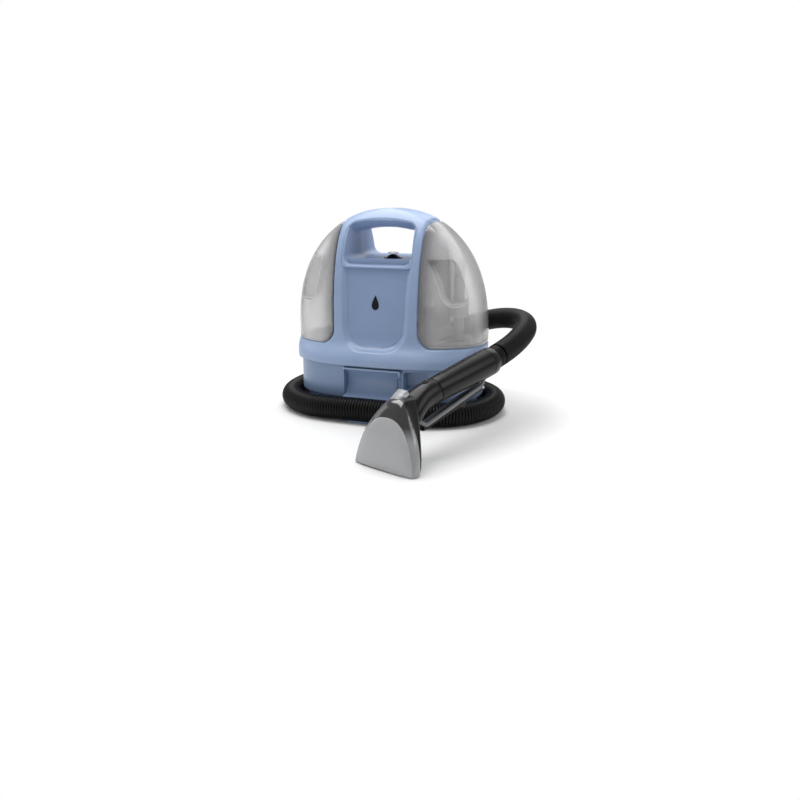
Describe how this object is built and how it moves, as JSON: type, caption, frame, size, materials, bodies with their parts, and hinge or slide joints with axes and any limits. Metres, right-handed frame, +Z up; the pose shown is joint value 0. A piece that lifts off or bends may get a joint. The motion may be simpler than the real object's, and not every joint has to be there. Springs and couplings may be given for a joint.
{
  "type": "portable spot extractor",
  "caption": "Compact portable spot cleaner: arched body with side tanks, carry handle, wound suction hose and hand tool with clear nozzle.",
  "frame": {"origin": "on the floor under the middle of the base, at the foot of the base plate's centre boss", "axes": "+Z up, front of the machine towards -Y, clean tank towards -X"},
  "size_m": [0.4081, 0.4894, 0.312],
  "materials": {
    "body_plastic": "satin blue moulding",
    "base_plastic": "satin darker blue moulding",
    "tank_plastic": "smoky clear moulding",
    "clear_plastic": "clear moulding",
    "black_plastic": "satin black moulding",
    "hose_plastic": "ribbed black hose",
    "seal_rubber": "matt rubber",
    "steel": "zinc plated",
    "aluminium": "die cast",
    "white_plastic": "natural moulding"
  },
  "bodies": {
    "machine": {"base_plate": "base_plastic", "base_shell": "base_plastic", "rubber_feet": "seal_rubber", "base_screws": "steel", "hose_cradle": "body_plastic", "cradle_latch": "base_plastic", "front_housing": "body_plastic", "rear_housing": "body_plastic", "top_cover": "body_plastic", "front_panel": "base_plastic", "rear_grille": "base_plastic", "housing_screws": "steel", "cord_gland": "black_plastic", "button_bezel": "black_plastic", "power_switch": "black_plastic", "motor_can": "steel", "motor_stator": "steel", "motor_mount": "seal_rubber", "fan_housing": "white_plastic", "pump_body": "black_plastic", "pump_cover": "steel", "supply_line": "clear_plastic", "suction_duct": "black_plastic", "clean_receiver": "black_plastic", "tank_catches": "base_plastic", "hose": "hose_plastic", "hose_port": "black_plastic", "hose_cuff": "black_plastic", "tool_handle": "black_plastic", "tool_neck": "black_plastic", "nozzle_body": "black_plastic", "nozzle_window": "clear_plastic", "spray_tip": "clear_plastic", "trigger_pin": "steel", "spray_tube": "black_plastic"},
    "power_button": {"power_button": "black_plastic", "button_cap": "clear_plastic"},
    "fan_rotor": {"motor_shaft": "steel", "impeller": "aluminium", "motor_armature": "steel"},
    "pump_rotor": {"pump_rotor": "white_plastic"},
    "clean_tank": {"clean_tank": "tank_plastic"},
    "clean_cap": {"clean_tank_cap": "black_plastic"},
    "valve": {"valve_plunger": "white_plastic"},
    "dirty_base": {"dirty_tank_base": "tank_plastic", "tank_seal": "seal_rubber", "standpipe": "tank_plastic"},
    "dirty_tank": {"dirty_tank": "tank_plastic"},
    "float": {"tank_float": "white_plastic"},
    "trigger": {"tool_trigger": "black_plastic"},
    "tool_lock": {"tool_lock": "black_plastic"}
  },
  "joints": [
    {"name": "power_button_press", "type": "slide", "parent": "machine", "child": "power_button", "axis": [0, 0, -1], "range_m": [0, 0.003], "stiffness_N_per_m": 500, "springref_m": -0.002},
    {"name": "impeller_spin", "type": "hinge", "parent": "machine", "child": "fan_rotor", "pos_m": [0, 0.008, 0.1], "axis": [0, 0, 1], "continuous": true},
    {"name": "pump_spin", "type": "hinge", "parent": "machine", "child": "pump_rotor", "pos_m": [-0.092, -0.014, 0.05], "axis": [0, 0, 1], "continuous": true},
    {"name": "clean_tank_lift", "type": "slide", "parent": "machine", "child": "clean_tank", "axis": [0, 0, 1], "range_m": [0, 0.06]},
    {"name": "clean_cap_turn", "type": "hinge", "parent": "clean_tank", "child": "clean_cap", "pos_m": [-0.108, 0.0065, 0.108], "axis": [0, 0, 1], "range_deg": [0, 90]},
    {"name": "clean_valve_push", "type": "slide", "parent": "clean_cap", "child": "valve", "axis": [0, 0, 1], "range_m": [0, 0.003], "stiffness_N_per_m": 200, "springref_m": -0.002},
    {"name": "dirty_tank_lift", "type": "slide", "parent": "machine", "child": "dirty_base", "axis": [0, 0, 1], "range_m": [0, 0.06]},
    {"name": "dirty_shell_lift", "type": "slide", "parent": "dirty_base", "child": "dirty_tank", "axis": [0, 0, 1], "range_m": [0, 0.04]},
    {"name": "float_rise", "type": "slide", "parent": "dirty_base", "child": "float", "axis": [0, 0, 1], "range_m": [0, 0.036]},
    {"name": "trigger_pull", "type": "hinge", "parent": "machine", "child": "trigger", "pos_m": [0.17319, -0.11279, 0.072], "axis": [-0.9245, 0.3811, 0], "range_deg": [0, 5], "stiffness_Nm_per_rad": 1.5, "springref_deg": -5.73},
    {"name": "tool_lock_press", "type": "slide", "parent": "machine", "child": "tool_lock", "axis": [0.0668, 0.162, -0.9845], "range_m": [0, 0.0015], "stiffness_N_per_m": 800, "springref_m": -0.001}
  ]
}
